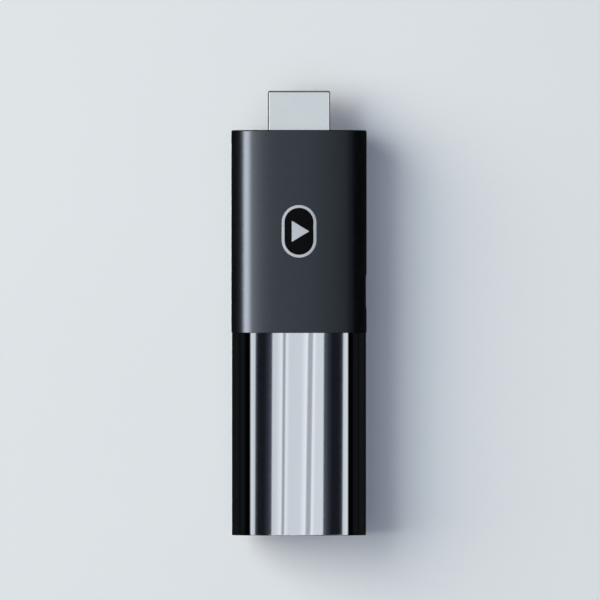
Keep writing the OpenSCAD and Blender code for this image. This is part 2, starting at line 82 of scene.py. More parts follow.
FACE_Y = FRONT_HIGH.y
SEAM_Y = FRONT_LOW.y
TAIL_Y = REAR_LOW.y
MID_Z = round(FRONT_HIGH.z, 1) / 2
SIDE_R = 6.35
SIDE_X = round(FRONT_HIGH.x, 1) - SIDE_R
CROWN_R = (SIDE_X ** 2 + MID_Z ** 2 - SIDE_R ** 2) / (2 * MID_Z - 2 * SIDE_R)
CROWN_DROP = CROWN_R - MID_Z
TANGENT = math.acos(SIDE_X / (CROWN_R - SIDE_R))
WALL = 1.3
REAR_STEP = 0.13

# ---- Outlines ----------------------------------------------------------------

SIDE_STEPS = 56
CROWN_STEPS = 112


def oval(inset):
    """The casing's section as (x, height from the middle) points, set in from the surface."""
    points = []
    for turn in (0, math.pi):
        for step in range(SIDE_STEPS):
            a = -TANGENT + 2 * TANGENT * step / SIDE_STEPS + turn
            centre = SIDE_X if turn == 0 else -SIDE_X
            points.append((centre + (SIDE_R - inset) * math.cos(a), (SIDE_R - inset) * math.sin(a)))
        for step in range(CROWN_STEPS):
            a = TANGENT + (math.pi - 2 * TANGENT) * step / CROWN_STEPS + turn
            centre = -CROWN_DROP if turn == 0 else CROWN_DROP
            points.append(((CROWN_R - inset) * math.cos(a), centre + (CROWN_R - inset) * math.sin(a)))
    return points


def crown_height(x):
    """Height of the upper crown above the ground at a place across the stick."""
    return MID_Z - CROWN_DROP + math.sqrt(CROWN_R ** 2 - x ** 2)


def side_reach(height):
    """How far the casing's side stands out at a height from its middle."""
    return SIDE_X + math.sqrt(SIDE_R ** 2 - height ** 2)


def rounded(corners, radii, steps=6):
    """A counter-clockwise polygon's outline with each corner turned into an arc."""
    points = []
    count = len(corners)
    for i, radius in enumerate(radii):
        here = Vector(corners[i])
        back = (Vector(corners[i - 1]) - here).normalized()
        ahead = (Vector(corners[(i + 1) % count]) - here).normalized()
        half = back.angle(ahead) / 2
        centre = here + (back + ahead).normalized() * radius / math.sin(half)
        start = here + back * radius / math.tan(half) - centre
        sweep = math.pi - 2 * half
        for step in range(steps + 1):
            a = sweep * step / steps
            x = start.x * math.cos(a) - start.y * math.sin(a)
            y = start.x * math.sin(a) + start.y * math.cos(a)
            points.append((centre.x + x, centre.y + y))
    return points


def connector(width, height, bevel, corner_r, grow=0):
    """A plug or port outline: square above, bevelled below, round-cornered, grown or shrunk all round."""
    half_w = width / 2 + grow
    half_h = height / 2 + grow
    cut = bevel + (2 - math.sqrt(2)) * grow
    corners = [
        (-half_w, half_h), (-half_w, cut - half_h), (cut - half_w, -half_h),
        (half_w - cut, -half_h), (half_w, cut - half_h), (half_w, half_h),
    ]
    return rounded(corners, [max(corner_r + grow, 0.02)] * len(corners))


def pill(width, length, steps=24):
    """An upright slot shape, round at both ends."""
    r = width / 2
    reach = length / 2 - r
    points = []
    for end in (1, -1):
        for step in range(steps + 1):
            a = math.pi * step / steps
            points.append((end * r * math.cos(a), end * (reach + r * math.sin(a))))
    return points


def rectangle(width, height, radius, steps=8):
    """A rectangle with rounded corners, centred on the origin."""
    w, h = width / 2, height / 2
    return rounded([(-w, -h), (w, -h), (w, h), (-w, h)], [radius] * 4, steps)


def spoke(outline, angle):
    """Where a ray from the origin leaves a convex outline."""
    ray = Vector((math.cos(angle), math.sin(angle)))
    best = None
    for i, start in enumerate(outline):
        a = Vector(start)
        b = Vector(outline[(i + 1) % len(outline)])
        edge = b - a
        across = ray.x * edge.y - ray.y * edge.x
        if abs(across) < 1e-12:
            continue
        far = (a.x * edge.y - a.y * edge.x) / across
        along = (a.x * ray.y - a.y * ray.x) / across
        if far > 0 and -1e-9 <= along <= 1 + 1e-9:
            best = far if best is None else max(best, far)
    return ray * best


def arc(centre, radius, start, end, steps=5):
    """Points on an arc, with angles in degrees, both ends included."""
    angles = [math.radians(start + (end - start) * i / steps) for i in range(steps + 1)]
    return [(centre[0] + radius * math.cos(a), centre[1] + radius * math.sin(a)) for a in angles]


def spaced(start, end, count):
    """Even places between two values, without the ends."""
    return [start + (end - start) * i / count for i in range(1, count)]


# ---- Mesh building -----------------------------------------------------------

SAME_PLACE = 1e-6


def loft(bm, loops, closed=True):
    """Joins loops of points, in mm, into a skin: a closed ring of loops, or one with flat ends."""
    rings = [[bm.verts.new(Vector(p) * MM) for p in loop] for loop in loops]
    count = len(rings[0])
    last = len(rings) if closed else len(rings) - 1
    for i in range(last):
        low, high = rings[i], rings[(i + 1) % len(rings)]
        for j in range(count):
            k = (j + 1) % count
            bm.faces.new((low[j], low[k], high[k], high[j]))
    if not closed:
        bm.faces.new(list(reversed(rings[0])))
        bm.faces.new(rings[-1])


def block(bm, low, high, edge=0.05):
    """A small block with chamfered edges, between two corners in mm."""
    made = bmesh.ops.create_cube(bm, size=1)["verts"]
    size = Vector(high) - Vector(low)
    middle = (Vector(high) + Vector(low)) / 2
    for v in made:
        v.co = Vector([(v.co[i] * size[i] + middle[i]) * MM for i in range(3)])
    edges = {e for v in made for e in v.link_edges}
    bmesh.ops.bevel(bm, geom=list(edges), offset=edge * MM, segments=2, affect="EDGES", profile=0.5)


def finish_mesh(bm, name):
    """Turns a mesh under construction into an object with its faces turned outward."""
    bmesh.ops.recalc_face_normals(bm, faces=bm.faces)
    mesh = bpy.data.meshes.new(name)
    bm.to_mesh(mesh)
    bm.free()
    obj = bpy.data.objects.new(name, mesh)
    bpy.context.scene.collection.objects.link(obj)
    return obj


def smooth(obj, angle=35):
    """Smooth shading in which wide faces outweigh fillets, and which breaks at sharp edges."""
    mesh = obj.data
    near = math.cos(math.radians(angle))
    faces_at = [[] for _ in mesh.vertices]
    for face in mesh.polygons:
        for vertex in face.vertices:
            faces_at[vertex].append((face.normal.copy(), face.area * 1e6))
    normals = []
    for face in mesh.polygons:
        for vertex in face.vertices:
            total = Vector()
            for normal, area in faces_at[vertex]:
                if normal.dot(face.normal) > near:
                    total += normal * area
            normals.append(total.normalized())
    mesh.polygons.foreach_set("use_smooth", [True] * len(mesh.polygons))
    mesh.normals_split_custom_set(normals)


def weld(mesh):
    """Joins points that lie in the same place, such as a cut leaves where two edges meet."""
    bm = bmesh.new()
    bm.from_mesh(mesh)
    bmesh.ops.remove_doubles(bm, verts=bm.verts, dist=SAME_PLACE * MM)
    bm.to_mesh(mesh)
    bm.free()


def cut(obj, cutters):
    """Subtracts the cutters from a piece and removes them."""
    for cutter in cutters:
        step = obj.modifiers.new("cut", "BOOLEAN")
        step.operation = "DIFFERENCE"
        step.solver = "EXACT"
        step.object = cutter
        bpy.context.view_layer.update()
        graph = bpy.context.evaluated_depsgraph_get()
        mesh = bpy.data.meshes.new_from_object(obj.evaluated_get(graph))
        obj.modifiers.clear()
        old = obj.data
        obj.data = mesh
        mesh.name = obj.name
        bpy.data.meshes.remove(old)
        bpy.data.objects.remove(cutter)
    weld(obj.data)


def stand_for(obj, node):
    """Makes a finished piece take the place of a CAD node."""
    smooth(obj)
    obj.data.materials.clear()
    obj.data.materials.append(MATERIALS[SLOT_OF[node]])
    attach(obj, "root")
    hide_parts(node)
    return obj


def around(inset, y):
    """One loop round the casing at an inset and a place along it."""
    return [(x, y, MID_Z + z) for x, z in oval(inset)]


# ---- Materials ---------------------------------------------------------------


class Graph:
    """A short way to write a surface's node graph."""

    def __init__(self, name):
        self.material = bpy.data.materials.new(name)
        self.material.use_nodes = True
        self.tree = self.material.node_tree
        self.shader = self.tree.nodes["Principled BSDF"]
        self.place = self.tree.nodes.new("ShaderNodeTexCoord").outputs["Object"]

    def node(self, kind, **values):
        """A new node with some of its properties set."""
        made = self.tree.nodes.new(kind)
        for key, value in values.items():
            setattr(made, key, value)
        return made

    def link(self, start, end):
        self.tree.links.new(start, end)

    def noise(self, size_mm, detail=3, stretch=(1, 1, 1)):
        """Noise with features of about size_mm, drawn out where stretch is over 1."""
        spread = self.node("ShaderNodeMapping", vector_type="TEXTURE")
        spread.inputs["Scale"].default_value = stretch
        self.link(self.place, spread.inputs["Vector"])
        made = self.node("ShaderNodeTexNoise")
        made.inputs["Scale"].default_value = 1 / (size_mm * MM)
        made.inputs["Detail"].default_value = detail
        self.link(spread.outputs["Vector"], made.inputs["Vector"])
        return made.outputs["Fac"]

    def between(self, value, low, high, reach=(0.3, 0.7)):
        """A value carried from its usual reach over to low and high."""
        made = self.node("ShaderNodeMapRange")
        made.inputs["From Min"].default_value = reach[0]
        made.inputs["From Max"].default_value = reach[1]
        made.inputs["To Min"].default_value = low
        made.inputs["To Max"].default_value = high
        self.link(value, made.inputs["Value"])
        return made.outputs["Result"]

    def blend(self, share, first, second):
        """A colour between two colours or sockets, by a share that varies."""
        made = self.node("ShaderNodeMix", data_type="RGBA")
        colours = [s for s in made.inputs if s.type == "RGBA"]
        for socket, value in zip(colours, (first, second)):
            if isinstance(value, bpy.types.NodeSocket):
                self.link(value, socket)
            else:
                socket.default_value = (*value, 1)
        self.link(share, made.inputs[0])
        return next(s for s in made.outputs if s.type == "RGBA")

    def bump(self, height, depth_mm, strength=1.0):
        """Fine relief of a depth in mm."""
        made = self.node("ShaderNodeBump")
        made.inputs["Distance"].default_value = depth_mm * MM
        made.inputs["Strength"].default_value = strength
        self.link(height, made.inputs["Height"])
        self.link(made.outputs["Normal"], self.shader.inputs["Normal"])

    def set(self, **values):
        """Sets the shader's sockets, named with _ for each space."""
        for key, value in values.items():
            self.shader.inputs[key.replace("_", " ")].default_value = value


def toned(colour, share):
    """A colour made darker or lighter."""
    return tuple(min(1, c * share) for c in colour)


def moulded(name, colour, rough, grain_mm=0.12, depth_mm=0.0008, spread=0.12, level=0.5):
    """Moulded plastic, rubber or ceramic: a fine grain, slightly uneven in tone and sheen."""
    g = Graph(name)
    grain = g.noise(grain_mm, detail=4)
    cloud = g.noise(grain_mm * 60, detail=2)
    tone = g.blend(g.between(grain, 0, 1), toned(colour, 1 - spread), toned(colour, 1 + spread))
    tone = g.blend(g.between(cloud, 0, 0.5), tone, toned(colour, 1 + spread))
    g.link(tone, g.shader.inputs["Base Color"])
    g.link(g.between(grain, rough - 0.04, rough + 0.04), g.shader.inputs["Roughness"])
    g.bump(grain, depth_mm)
    g.set(Specular_IOR_Level=level)
    return g.material


def polished(name, colour, rough):
    """Polished plastic: mirror gloss with the faintest unevenness of a moulding."""
    g = Graph(name)
    haze = g.noise(1.5, detail=5)
    drift = g.noise(14, detail=1)
    tone = g.blend(g.between(haze, 0, 1), toned(colour, 0.8), toned(colour, 1.2))
    g.link(tone, g.shader.inputs["Base Color"])
    g.link(g.between(haze, rough - 0.01, rough + 0.015), g.shader.inputs["Roughness"])
    g.bump(drift, 0.002)
    g.set(IOR=1.5, Coat_Weight=0.25, Coat_Roughness=0.02, Coat_IOR=1.5)
    return g.material


def metal(name, colour, rough, along=(1, 30, 1), line_mm=0.05, depth_mm=0.0008, spread=0.05):
    """Bare or plated metal with fine drawn lines."""
    g = Graph(name)
    lines = g.noise(line_mm, detail=3, stretch=along)
    cloud = g.noise(4, detail=2)
    tone = g.blend(g.between(cloud, 0, 1), toned(colour, 1 - spread), toned(colour, 1 + spread))
    tone = g.blend(g.between(lines, 0, 0.6), tone, toned(colour, 1 - spread))
    g.link(tone, g.shader.inputs["Base Color"])
    g.link(g.between(lines, rough - 0.05, rough + 0.06), g.shader.inputs["Roughness"])
    g.bump(lines, depth_mm)
    g.set(Metallic=1)
    return g.material


def laminate(name, mask, copper):
    """Solder mask over printed tracks: paler bands where copper runs beneath."""
    g = Graph(name)
    weave = g.noise(0.2, detail=2)
    tracks = g.node("ShaderNodeTexBrick")
    tracks.inputs["Scale"].default_value = 1 / (2 * MM)
    tracks.inputs["Mortar Size"].default_value = 0.08
    tracks.inputs["Color1"].default_value = (*mask, 1)
    tracks.inputs["Color2"].default_value = (*toned(mask, 0.85), 1)
    tracks.inputs["Mortar"].default_value = (*copper, 1)
    g.link(g.place, tracks.inputs["Vector"])
    tone = g.blend(g.between(weave, 0, 0.25), tracks.outputs["Color"], toned(mask, 0.6))
    g.link(tone, g.shader.inputs["Base Color"])
    g.link(g.between(weave, 0.28, 0.36), g.shader.inputs["Roughness"])
    g.bump(tracks.outputs["Fac"], 0.02, 0.4)
    return g.material


def foam(name, colour):
    """Open foam or woven gasket: round cells, with painted shade darkening their pits."""
    g = Graph(name)
    cells = g.node("ShaderNodeTexVoronoi")
    cells.inputs["Scale"].default_value = 1 / (0.35 * MM)
    g.link(g.place, cells.inputs["Vector"])
    # Painted shade: the tone follows the cells' relief, darker down in the pits and lighter on the raised
    # walls.
    tone = g.blend(cells.outputs["Distance"], toned(colour, 0.5), toned(colour, 1.4))
    g.link(tone, g.shader.inputs["Base Color"])
    g.link(g.between(cells.outputs["Distance"], 0.7, 0.95, (0, 1)), g.shader.inputs["Roughness"])
    g.bump(cells.outputs["Distance"], 0.1, 0.7)
    return g.material


def frosted(name, colour):
    """Clear moulding with a frosted end that spreads the light."""
    g = Graph(name)
    frost = g.noise(0.1, detail=4)
    tone = g.blend(g.between(frost, 0, 1), toned(colour, 0.9), toned(colour, 1.08))
    g.link(tone, g.shader.inputs["Base Color"])
    g.link(g.between(frost, 0.25, 0.4), g.shader.inputs["Roughness"])
    g.bump(frost, 0.004)
    g.set(IOR=1.49, Subsurface_Weight=0.3, Subsurface_Scale=0.001)
    return g.material


MATERIALS = {
    "matte_casing": moulded("matte_casing", (0.011, 0.0125, 0.015), 0.29),
    "gloss_casing": polished("gloss_casing", (0.0016, 0.0018, 0.0022), 0.045),
    "emblem_silver": metal("emblem_silver", (0.72, 0.755, 0.795), 0.32),
    "emblem_black": moulded("emblem_black", (0.0015, 0.0015, 0.002), 0.4, level=0.08),
    "plug_metal": metal("plug_metal", (0.80, 0.85, 0.845), 0.12, depth_mm=0.0003, spread=0.015),
    "connector_plastic": moulded("connector_plastic", (0.014, 0.014, 0.016), 0.5),
    "contact_gold": metal("contact_gold", (0.9, 0.66, 0.3), 0.22),
    "conductive_foam": foam("conductive_foam", (0.3, 0.31, 0.32)),
    "frame_plastic": moulded("frame_plastic", (0.10, 0.11, 0.12), 0.55, grain_mm=0.25),
    "screw_steel": metal("screw_steel", (0.6, 0.61, 0.63), 0.3, along=(1, 1, 1), line_mm=0.2),
    "spreader_aluminium": metal("spreader_aluminium", (0.72, 0.73, 0.75), 0.38),
    "thermal_pad": foam("thermal_pad", (0.33, 0.42, 0.5)),
    "tail_foam": foam("tail_foam", (0.07, 0.07, 0.075)),
    "board_laminate": laminate("board_laminate", (0.012, 0.09, 0.04), (0.05, 0.2, 0.08)),
    "shield_steel": metal("shield_steel", (0.7, 0.71, 0.73), 0.28, line_mm=0.08),
    "chip_mould": moulded("chip_mould", (0.025, 0.026, 0.028), 0.6, grain_mm=0.06),
    "inductor_core": moulded("inductor_core", (0.06, 0.06, 0.064), 0.7, grain_mm=0.15, depth_mm=0.01),
    "capacitor_body": moulded("capacitor_body", (0.42, 0.33, 0.22), 0.45, grain_mm=0.05),
    "tantalum_body": moulded("tantalum_body", (0.5, 0.28, 0.05), 0.45, grain_mm=0.08),
    "resistor_body": moulded("resistor_body", (0.02, 0.02, 0.024), 0.3, grain_mm=0.05),
    "fuse_body": moulded("fuse_body", (0.04, 0.16, 0.08), 0.5, grain_mm=0.08),
    "led_lens": frosted("led_lens", (0.8, 0.76, 0.6)),
    "light_pipe": frosted("light_pipe", (0.7, 0.74, 0.77)),
    "module_laminate": laminate("module_laminate", (0.01, 0.06, 0.14), (0.04, 0.13, 0.24)),
    "antenna_metal": metal("antenna_metal", (0.78, 0.62, 0.36), 0.3),
    "clip_plastic": moulded("clip_plastic", (0.74, 0.72, 0.66), 0.5, grain_mm=0.1),
}

for name, node in frame["nodes"].items():
    for slot in node.material_slots:
        slot.material = MATERIALS[SLOT_OF[name]]

# ---- Casing ------------------------------------------------------------------


def swept(name, profile):
    """A casing piece: a closed outline of (inset, y) points carried round the oval section."""
    bm = bmesh.new()
    loft(bm, [around(inset, y) for inset, y in profile])
    return finish_mesh(bm, name)


def run(inset, start, end, count):
    """Even stations along the stick at one inset, without the ends."""
    return [(inset, y) for y in spaced(start, end, count)]


EDGE_R = 0.3
SEAM_R = 0.06
INNER_R = 0.15
LEDGE_INSET = 2.3
LEDGE = (FACE_Y - 1.8, FACE_Y - 3.2)
SPIGOT = (1.35, 2.15)


def front_profile():
    """The matte half in section: a plain tube with an inner ledge that holds the end plate."""
    outer = arc((EDGE_R, FACE_Y - EDGE_R), EDGE_R, 90, 180)
    seam = arc((SEAM_R, SEAM_Y + SEAM_R), SEAM_R, 180, 270, 3)
    inner = arc((WALL - INNER_R, SEAM_Y + INNER_R), INNER_R, 270, 360, 3)
    mouth = arc((WALL - INNER_R, FACE_Y - INNER_R), INNER_R, 0, 90, 4)
    ledge = [(WALL, LEDGE[1]), (LEDGE_INSET, LEDGE[1]), (LEDGE_INSET, LEDGE[0]), (WALL, LEDGE[0])]
    return outer + run(0, outer[-1][1], seam[0][1], 48) + seam + inner + ledge + mouth


def rear_profile():
    """The gloss half in section: a tube with a spigot into the matte half and a stop for the cap."""
    step, tail_r, mouth_r = REAR_STEP, 0.16, 0.1
    stop_gap, stop_thick, collar_deep = 0.05, 1, 4
    seam = arc((step + SEAM_R, SEAM_Y - SEAM_R), SEAM_R, 90, 180, 3)
    tail_edge = arc((step + tail_r, TAIL_Y + tail_r), tail_r, 180, 270, 5)
    mouth = arc((WALL - mouth_r, TAIL_Y + mouth_r), mouth_r, 270, 360, 3)
    stop_y = (CAP_HIGH.y + stop_gap, CAP_HIGH.y + stop_thick)
    stop = [(WALL, stop_y[0]), (SPIGOT[1], stop_y[0]), (SPIGOT[1], stop_y[1]), (WALL, stop_y[1])]
    collar = [(WALL, SEAM_Y - collar_deep), (SPIGOT[1], SEAM_Y - collar_deep)]
    spigot = [(SPIGOT[1], REAR_HIGH.y), (SPIGOT[0], REAR_HIGH.y), (SPIGOT[0], SEAM_Y)]
    sides = run(step, seam[-1][1], tail_edge[0][1], 24)
    return seam + sides + tail_edge + mouth + stop + collar + spigot


def flared_cutter(name, outline, place, steps):
    """A cutter whose loops widen where it leaves the surface, so that the cut gets a rounded rim."""
    bm = bmesh.new()
    loft(bm, [[place(u, v, depth) for u, v in outline(grow)] for grow, depth in steps], closed=False)
    return finish_mesh(bm, name)


# The flare of a cut's rim, as (growth, depth under the surface), and how deep the cut goes.
RIM = [(0.2, -0.4), (0.2, -0.001), (0.13, 0.012), (0.07, 0.04), (0.025, 0.09), (0, 0.17)]
CUT_DEPTH = 3.2
PORT_MID_Y = (PORT_LOW.y + PORT_HIGH.y) / 2
PORT_WINDOW_W, PORT_WINDOW_T, PORT_WINDOW_R = 7.7, 2.5, 0.9
PIPE_MID = (PIPE_LOW + PIPE_HIGH) / 2
PIPE_R = 0.5
PIPE_HOLE_R = 0.53
TURNS = [math.tau * i / 40 for i in range(40)]


def port_cutter():
    """The window of the power port, through the rounded side."""

    def outline(grow):
        return rectangle(PORT_WINDOW_W + grow, PORT_WINDOW_T + grow, PORT_WINDOW_R + grow / 2)

    def place(u, v, depth):
        return (side_reach(v) - depth, PORT_MID_Y + u, MID_Z + v)

    return flared_cutter("port_cutter", outline, place, RIM + [(0, CUT_DEPTH)])


def light_cutter():
    """The hole of the light pipe, through the rounded side."""
    rise = PIPE_MID.z - MID_Z

    def outline(grow):
        r = PIPE_HOLE_R + grow * 0.5
        return [(r * math.cos(a), r * math.sin(a)) for a in TURNS]

    def place(u, v, depth):
        return (side_reach(rise + v) - depth, PIPE_MID.y + u, MID_Z + rise + v)

    return flared_cutter("light_cutter", outline, place, RIM + [(0, CUT_DEPTH)])


EMBLEM_W = EMBLEM_HIGH.x - EMBLEM_LOW.x
EMBLEM_L = EMBLEM_HIGH.y - EMBLEM_LOW.y
EMBLEM_Y = (EMBLEM_HIGH.y + EMBLEM_LOW.y) / 2
INLAY_DEPTH = 0.25
INLAY_GAP = 0.02


def emblem_cutter():
    """The pocket of the inlays, with a floor that follows the crown."""
    bm = bmesh.new()
    rim = [(0.05, -0.4), (0.05, -0.001), (0.02, 0.015), (0, 0.045), (0, INLAY_DEPTH)]
    loops = []
    for grow, depth in rim:
        outline = pill(EMBLEM_W + 2 * grow, EMBLEM_L + 2 * grow)
        loops.append([(x, EMBLEM_Y + y, crown_height(x) - depth) for x, y in outline])
    for share in (0.75, 0.5, 0.25, 0.05):
        outline = pill(EMBLEM_W * share, EMBLEM_L * share)
        loops.append([(x, EMBLEM_Y + y, crown_height(x) - INLAY_DEPTH) for x, y in outline])
    loft(bm, loops, closed=False)
    return finish_mesh(bm, "emblem_cutter")


front = swept("front_sleeve_shell", front_profile())
cut(front, [emblem_cutter(), port_cutter(), light_cutter()])
stand_for(front, "front_sleeve")
rear = stand_for(swept("rear_sleeve_shell", rear_profile()), "rear_sleeve")


def make_tail_cap():
    """A shallow cap: a flat face with an eased rim, and a lip that reaches into the sleeve."""
    rim_r, face_inset, face_thick = 0.12, 3.4, 1.4
    outer, inner = SPIGOT[0], SPIGOT[1] + 0.1
    rim = arc((outer + rim_r, CAP_LOW.y + rim_r), rim_r, 270, 180, 4)
    lip = [(outer, CAP_HIGH.y), (inner, CAP_HIGH.y), (inner, CAP_LOW.y + face_thick)]
    bm = bmesh.new()
    loft(bm, [around(inset, y) for inset, y in [(face_inset, CAP_LOW.y)] + rim + lip], closed=False)
    return stand_for(finish_mesh(bm, "tail_cap_moulding"), "tail_cap")


tail = make_tail_cap()

# ---- Emblem ------------------------------------------------------------------

CORNER_TURNS = 96
LEAST_TURN = 0.004
TRIANGLE_R = 0.12


def spoke_angles(*outlines):
    """Even directions once round, plus the exact directions of every outline's corners."""
    turns = [math.tau * i / CORNER_TURNS for i in range(CORNER_TURNS)]
    turns += [math.atan2(y, x) % math.tau for outline in outlines for x, y in outline]
    turns.sort()
    kept = [turns[0]]
    for turn in turns[1:]:
        if turn - kept[-1] > LEAST_TURN and math.tau - turn > LEAST_TURN:
            kept.append(turn)
    return kept


def spoked(outline, angles):
    """Points on a convex outline in the given directions."""
    return [tuple(spoke(outline, a)) for a in angles]


def inlay(name, node, outer, inner=None):
    """A thin piece let into the crown, with eased edges and a top that follows the casing."""
    ease = 0.03
    sink = 0.004
    foot = INLAY_DEPTH - 0.01
    angles = spoke_angles(outer, *([inner] if inner else []))
    far = spoked(outer, angles)
    near = spoked(inner, angles) if inner else [(0, 0)] * len(angles)

    def toward(start, end, distance):
        a, b = Vector(start), Vector(end)
        return tuple(a + (b - a).normalized() * distance)

    def loop(points, depth):
        return [(x, EMBLEM_Y + y, crown_height(x) - depth) for x, y in points]

    def share(points, others, amount):
        return [tuple(Vector(p).lerp(Vector(q), amount)) for p, q in zip(points, others)]

    edge = [toward(p, q, INLAY_GAP) for p, q in zip(far, near)]
    shoulder = [toward(p, q, INLAY_GAP + ease) for p, q in zip(far, near)]
    loops = [loop(edge, foot), loop(edge, sink + ease), loop(shoulder, sink)]
    if inner:
        lip = [toward(q, p, INLAY_GAP + ease) for p, q in zip(far, near)]
        hole = [toward(q, p, INLAY_GAP) for p, q in zip(far, near)]
        loops += [loop(share(shoulder, lip, s), sink) for s in (0.25, 0.5, 0.75)]
        loops += [loop(lip, sink), loop(hole, sink + ease), loop(hole, foot)]
    else:
        loops += [loop(share(shoulder, near, s), sink) for s in (0.3, 0.6, 0.85, 0.97)]
    bm = bmesh.new()
    loft(bm, loops, closed=inner is not None)
    return stand_for(finish_mesh(bm, name), node)


FIELD = pill(FIELD_HIGH.x - FIELD_LOW.x, FIELD_HIGH.y - FIELD_LOW.y)
TRIANGLE = rounded(
    [(TRIANGLE_LOW.x, (TRIANGLE_LOW.y - TRIANGLE_HIGH.y) / 2), (TRIANGLE_HIGH.x, 0),
     (TRIANGLE_LOW.x, (TRIANGLE_HIGH.y - TRIANGLE_LOW.y) / 2)],
    [TRIANGLE_R] * 3, 4)
inlay("emblem_ring_inlay", "emblem_ring", pill(EMBLEM_W, EMBLEM_L), FIELD)
inlay("emblem_field_inlay", "emblem_field", FIELD, TRIANGLE)
inlay("emblem_triangle_inlay", "emblem_triangle", TRIANGLE)

# ---- Plug, port and light pipe -----------------------------------------------

PLUG_W = 13.9
PLUG_T = PLUG_HIGH.z - PLUG_LOW.z
PLUG_BEVEL = 1.75
PLUG_CORNER_R = 0.5
PLUG_MID_Z = (PLUG_HIGH.z + PLUG_LOW.z) / 2
SHEET = 0.3
# The lead-in at the plug's tip, as (growth, distance from the tip), from the outside to the inside.
PLUG_LEAD = [(0, 0.55), (-0.012, 0.42), (-0.04, 0.29), (-0.085, 0.17), (-0.15, 0.07), (-0.22, 0.015),
             (-0.28, 0), (-0.35, 0.02), (-0.4, 0.08), (-0.39, 0.2), (-0.34, 0.36), (-SHEET, 0.55)]
LATCH_W, LATCH_L, LATCH_R = 1.9, 1.6, 0.3
LATCH_X = 3.2
LATCH_Y = FACE_Y + 4.6
TAB_L = 1.4
TAB_LAP = 0.05
PORT_W, PORT_T, PORT_BEVEL, PORT_CORNER_R = 7.5, 2.5, 0.7, 0.4
PORT_SHEET = 0.22
PORT_BACK_IN = 0.9
# The rolled mouth of the port, in the same terms.
PORT_ROLL = [(0, 0.75), (0.03, 0.55), (0.09, 0.35), (0.15, 0.18), (0.17, 0.06), (0.14, 0), (0.06, 0),
             (-0.03, 0.08), (-0.11, 0.25), (-0.18, 0.45), (-PORT_SHEET, 0.75)]


def make_plug_shell():
    """Pressed sheet with a rolled lead-in at the tip and two latch windows underneath."""
    tip, back = PLUG_HIGH.y, PLUG_LOW.y
    stations = [(grow, tip - drop) for grow, drop in PLUG_LEAD]
    inside = [(-SHEET, y) for y in spaced(stations[-1][1], back, 6)] + [(-SHEET, back)]
    outside = [(0, back)] + [(0, y) for y in spaced(back, stations[0][1], 6)]
    bm = bmesh.new()
    loops = []
    for grow, y in stations + inside + outside:
        outline = connector(PLUG_W, PLUG_T, PLUG_BEVEL, PLUG_CORNER_R, grow)
        loops.append([(x, y, PLUG_MID_Z + z) for x, z in outline])
    loft(bm, loops)
    shell = finish_mesh(bm, "video_plug_pressing")
    cut(shell, [latch_cutter(side) for side in (-1, 1)])
    add_tabs(shell)
    return stand_for(shell, "video_plug_shell")


def latch_cutter(side):
    """A rounded window through the underside of the plug."""
    window = rectangle(LATCH_W, LATCH_L, LATCH_R)
    heights = (PLUG_LOW.z - 0.5, PLUG_LOW.z + 1)
    bm = bmesh.new()
    loft(bm, [[(side * LATCH_X + x, LATCH_Y + y, z) for x, y in window] for z in heights], closed=False)
    return finish_mesh(bm, "latch_cutter")


def add_tabs(shell):
    """Solder tabs at the back of the plug, on the board's ears."""
    bm = bmesh.new()
    bm.from_mesh(shell.data)
    board_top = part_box("main_board")[1].z / MM
    for side in (-1, 1):
        reach = sorted((side * (PLUG_W / 2 - TAB_LAP), side * PLUG_HIGH.x))
        block(bm, (reach[0], PLUG_LOW.y, board_top), (reach[1], PLUG_LOW.y + TAB_L, board_top + SHEET))
    bm.to_mesh(shell.data)
    bm.free()


def make_port_shell():
    """Drawn port shell with a rolled mouth, and a back wall that is open in the middle."""
    mouth, back = PORT_HIGH.x, PORT_LOW.x
    wall = back + PORT_SHEET
    stations = [(grow, mouth - drop) for grow, drop in PORT_ROLL] + [(-PORT_SHEET, wall)]
    stations += [(-PORT_BACK_IN, wall), (-PORT_BACK_IN, back), (0, back)]
    bm = bmesh.new()
    loops = []
    for grow, x in stations:
        outline = connector(PORT_W, PORT_T, PORT_BEVEL, PORT_CORNER_R, grow)
        loops.append([(x, PORT_MID_Y + u, MID_Z + v) for u, v in outline])
    loft(bm, loops)
    return stand_for(finish_mesh(bm, "power_port_pressing"), "power_port_shell")


def make_light_pipe():
    """A turned peg with a retaining flange and a softly domed end."""
    start, end = PIPE_LOW.x, PIPE_HIGH.x
    r, flange_r = PIPE_R, (PIPE_HIGH.z - PIPE_LOW.z) / 2
    flange_x = FRONT_HIGH.x - WALL - 1
    flange_end = flange_x + 0.4
    ease, bevel = 0.05, 0.04
    stem = [(0.1, start), (r - ease, start), (r, start + ease), (r, flange_x)]
    flange = [(flange_r - bevel, flange_x), (flange_r, flange_x + bevel), (flange_r, flange_end - bevel),
              (flange_r - bevel, flange_end), (r, flange_end)]
    dome = [(r, end - 0.12), (r * 0.93, end - 0.06), (r * 0.75, end - 0.025), (r * 0.45, end - 0.006),
            (0.08, end)]
    bm = bmesh.new()
    loft(bm, [[(x, PIPE_MID.y + d * math.cos(a), PIPE_MID.z + d * math.sin(a)) for a in TURNS]
              for d, x in stem + flange + dome], closed=False)
    return stand_for(finish_mesh(bm, "light_pipe_moulding"), "light_pipe")


plug_shell = make_plug_shell()
port_shell = make_port_shell()
make_light_pipe()

# ---- Camera and floor --------------------------------------------------------

FRAME_MM = 134.0
AIM = Vector((0.22, 2.9, MID_Z)) * MM
LENS = 900
SENSOR = 36
FLOOR_HALF = 3.0
FLOOR_TONES = ((0.79, 0.82, 0.84), (0.80, 0.83, 0.85))


def make_camera():
    """Straight above the stick, and far enough away that its sides stay parallel."""
    data = bpy.data.cameras.new("camera")
    data.lens = LENS
    data.sensor_width = SENSOR
    data.clip_start = 0.01
    data.clip_end = 20
    camera = bpy.data.objects.new("camera", data)
    camera.location = AIM + Vector((0, 0, FRAME_MM * MM * LENS / SENSOR))
    bpy.context.scene.collection.objects.link(camera)
    bpy.context.scene.camera = camera
    return camera


